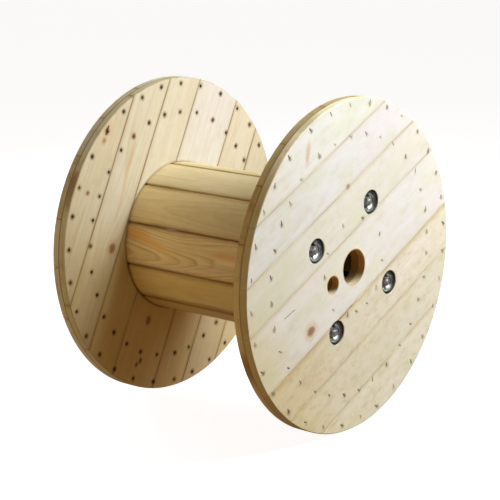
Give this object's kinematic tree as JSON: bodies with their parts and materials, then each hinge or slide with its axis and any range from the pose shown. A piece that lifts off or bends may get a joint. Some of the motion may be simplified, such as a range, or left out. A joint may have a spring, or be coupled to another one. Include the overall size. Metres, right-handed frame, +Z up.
{
  "type": "wire spool",
  "caption": "Wooden wire spool: two round nailed board flanges on a stave barrel, with an arbor hole, a drive hole and tie rods sunk in steel cup washers.",
  "frame": {"origin": "centre of the drum: on the spindle axis, midway between the flanges", "axes": "+Z up; +Y along the spindle axis from the front flange, which has the negative Y, to the rear flange; +X to the right seen from the front"},
  "size_m": [0.75, 0.56, 0.75],
  "materials": {
    "front_outer_boards": "sawn softwood, pale cream, unfinished",
    "front_inner_boards": "sawn softwood, unfinished",
    "rear_inner_boards": "sawn softwood, warm pine, unfinished",
    "rear_outer_boards": "sawn softwood, unfinished",
    "barrel_staves": "planed softwood, golden, strong grain",
    "tie_rods": "zinc-plated steel, rolled thread ends",
    "cup_washers": "pressed zinc-plated steel",
    "nuts": "zinc-plated steel",
    "nails": "dull bare steel wire nail, oxidised"
  },
  "bodies": {
    "root": {"barrel_stave_1": "barrel_staves", "barrel_stave_10": "barrel_staves", "barrel_stave_11": "barrel_staves", "barrel_stave_2": "barrel_staves", "barrel_stave_3": "barrel_staves", "barrel_stave_4": "barrel_staves", "barrel_stave_5": "barrel_staves", "barrel_stave_6": "barrel_staves", "barrel_stave_7": "barrel_staves", "barrel_stave_8": "barrel_staves", "barrel_stave_9": "barrel_staves", "front_cup_washers": "cup_washers", "front_hub_nails": "nails", "front_inner_board_1": "front_inner_boards", "front_inner_board_2": "front_inner_boards", "front_inner_board_3": "front_inner_boards", "front_inner_board_4": "front_inner_boards", "front_inner_board_5": "front_inner_boards", "front_inner_board_6": "front_inner_boards", "front_inner_board_7": "front_inner_boards", "front_middle_nails": "nails", "front_nuts": "nuts", "front_outer_board_1": "front_outer_boards", "front_outer_board_2": "front_outer_boards", "front_outer_board_3": "front_outer_boards", "front_outer_board_4": "front_outer_boards", "front_outer_board_5": "front_outer_boards", "front_outer_board_6": "front_outer_boards", "front_outer_board_7": "front_outer_boards", "front_rim_nails": "nails", "rear_cup_washers": "cup_washers", "rear_hub_nails": "nails", "rear_inner_board_1": "rear_inner_boards", "rear_inner_board_2": "rear_inner_boards", "rear_inner_board_3": "rear_inner_boards", "rear_inner_board_4": "rear_inner_boards", "rear_inner_board_5": "rear_inner_boards", "rear_inner_board_6": "rear_inner_boards", "rear_inner_board_7": "rear_inner_boards", "rear_middle_nails": "nails", "rear_nuts": "nuts", "rear_outer_board_1": "rear_outer_boards", "rear_outer_board_2": "rear_outer_boards", "rear_outer_board_3": "rear_outer_boards", "rear_outer_board_4": "rear_outer_boards", "rear_outer_board_5": "rear_outer_boards", "rear_outer_board_6": "rear_outer_boards", "rear_outer_board_7": "rear_outer_boards", "rear_rim_nails": "nails", "tie_rod_1": "tie_rods", "tie_rod_2": "tie_rods", "tie_rod_3": "tie_rods", "tie_rod_4": "tie_rods"}
  },
  "joints": []
}
